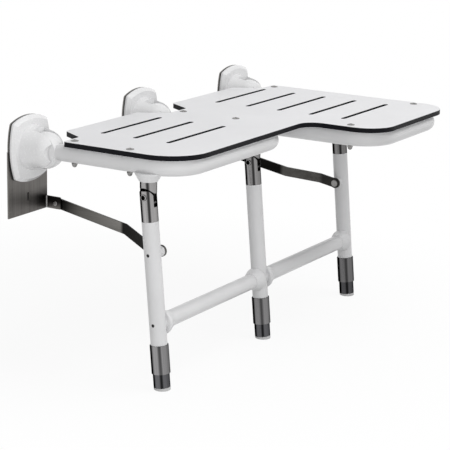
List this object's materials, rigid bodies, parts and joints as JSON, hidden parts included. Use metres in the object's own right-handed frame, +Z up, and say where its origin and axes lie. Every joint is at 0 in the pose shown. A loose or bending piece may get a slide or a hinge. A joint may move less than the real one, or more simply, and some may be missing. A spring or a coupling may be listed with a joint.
{
  "type": "fold down wall seat",
  "caption": "Fold down shower bench with an L-shaped slotted panel on a tube frame, wall hinges with domed covers, swing down legs with cross bars and height adjustable feet.",
  "frame": {"origin": "on the wall surface at the middle hinge, level with the hinge axis", "axes": "+X along the wall to the deep end of the seat, -Y out from the wall, +Z up"},
  "size_m": [0.926, 0.567, 0.519],
  "materials": {
    "laminate_white": "satin white compact laminate face with a fine texture",
    "laminate_core": "black phenolic core, sawn and polished edge",
    "white_coat": "smooth white powder coat on tube",
    "white_cover": "glossy white moulded cover",
    "bracket_steel": "dark satin stainless steel",
    "plate_steel": "vertically brushed stainless sheet",
    "polished_steel": "polished stainless steel",
    "strut_steel": "mill finished stainless flat bar",
    "bush_plastic": "natural bearing plastic",
    "tip_plastic": "pale grey soft plastic foot tip"
  },
  "bodies": {
    "wall": {"hinge_bracket_left": "bracket_steel", "hinge_cover_left": "white_cover", "hinge_bracket_middle": "bracket_steel", "hinge_cover_middle": "white_cover", "hinge_bracket_right": "bracket_steel", "hinge_cover_right": "white_cover", "wall_plate_left": "plate_steel", "wall_plate_right": "plate_steel", "wall_spacer_middle": "plate_steel", "hinge_pins": "polished_steel"},
    "seat": {"hinge_knuckle_left": "white_coat", "leg_tongue_left": "polished_steel", "hinge_knuckle_middle": "white_coat", "leg_tongue_middle": "polished_steel", "hinge_knuckle_right": "white_coat", "leg_tongue_right": "polished_steel", "hinge_bushes": "bush_plastic", "panel_bottom_face": "laminate_white", "panel_core": "laminate_core", "panel_top_face": "laminate_white", "panel_screws": "polished_steel", "panel_cap_nuts": "polished_steel", "seat_loop_short": "white_coat", "seat_loop_long": "white_coat", "rear_rail": "white_coat", "leg_collars": "white_coat"},
    "legs": {"leg_fork_left": "polished_steel", "leg_tube_left": "white_coat", "foot_sleeve_left": "polished_steel", "leg_fork_middle": "polished_steel", "leg_tube_middle": "white_coat", "foot_sleeve_middle": "polished_steel", "leg_fork_right": "polished_steel", "leg_tube_right": "white_coat", "foot_sleeve_right": "polished_steel", "crossbar_left": "white_coat", "strut_boss_left": "white_coat", "crossbar_right": "white_coat", "strut_boss_right": "white_coat", "leg_hinge_bolts": "polished_steel", "levelling_nuts": "bush_plastic", "leg_grub_screws": "bracket_steel", "crossbar_collars": "white_coat"},
    "left_strut": {"strut_bar_left": "strut_steel", "strut_washer_left": "bush_plastic", "strut_pins_left": "polished_steel"},
    "right_strut": {"strut_bar_right": "strut_steel", "strut_washer_right": "bush_plastic", "strut_pins_right": "polished_steel"},
    "foot_left": {"foot_insert_left": "polished_steel", "foot_stud_left": "plate_steel", "foot_tip_left": "tip_plastic"},
    "foot_middle": {"foot_insert_middle": "polished_steel", "foot_stud_middle": "plate_steel", "foot_tip_middle": "tip_plastic"},
    "foot_right": {"foot_insert_right": "polished_steel", "foot_stud_right": "plate_steel", "foot_tip_right": "tip_plastic"}
  },
  "joints": [
    {"name": "seat_fold", "type": "hinge", "parent": "wall", "child": "seat", "pos_m": [0, -0.05, 0], "axis": [-1, 0, 0], "range_deg": [0, 90]},
    {"name": "leg_fold", "type": "hinge", "parent": "seat", "child": "legs", "pos_m": [0, -0.299, -0.06], "axis": [1, 0, 0], "range_deg": [0, 79.57]},
    {"name": "left_strut_swing", "type": "hinge", "parent": "wall", "child": "left_strut", "pos_m": [-0.3315, -0.027, -0.126], "axis": [-1, 0, 0], "range_deg": [0, 76.37]},
    {"name": "right_strut_swing", "type": "hinge", "parent": "wall", "child": "right_strut", "pos_m": [0.3315, -0.027, -0.126], "axis": [-1, 0, 0], "range_deg": [0, 76.37]},
    {"name": "foot_left_height", "type": "slide", "parent": "legs", "child": "foot_left", "axis": [0, -0.0958, -0.9954], "range_m": [-0.015, 0.01]},
    {"name": "foot_middle_height", "type": "slide", "parent": "legs", "child": "foot_middle", "axis": [0, -0.0958, -0.9954], "range_m": [-0.015, 0.01]},
    {"name": "foot_right_height", "type": "slide", "parent": "legs", "child": "foot_right", "axis": [0, -0.0958, -0.9954], "range_m": [-0.015, 0.01]}
  ],
  "couplings": [
    {"joint": "leg_fold", "follows": "seat_fold", "ratio": 0.88401},
    {"joint": "left_strut_swing", "follows": "seat_fold", "ratio": 0.8484},
    {"joint": "right_strut_swing", "follows": "seat_fold", "ratio": 0.8484}
  ]
}
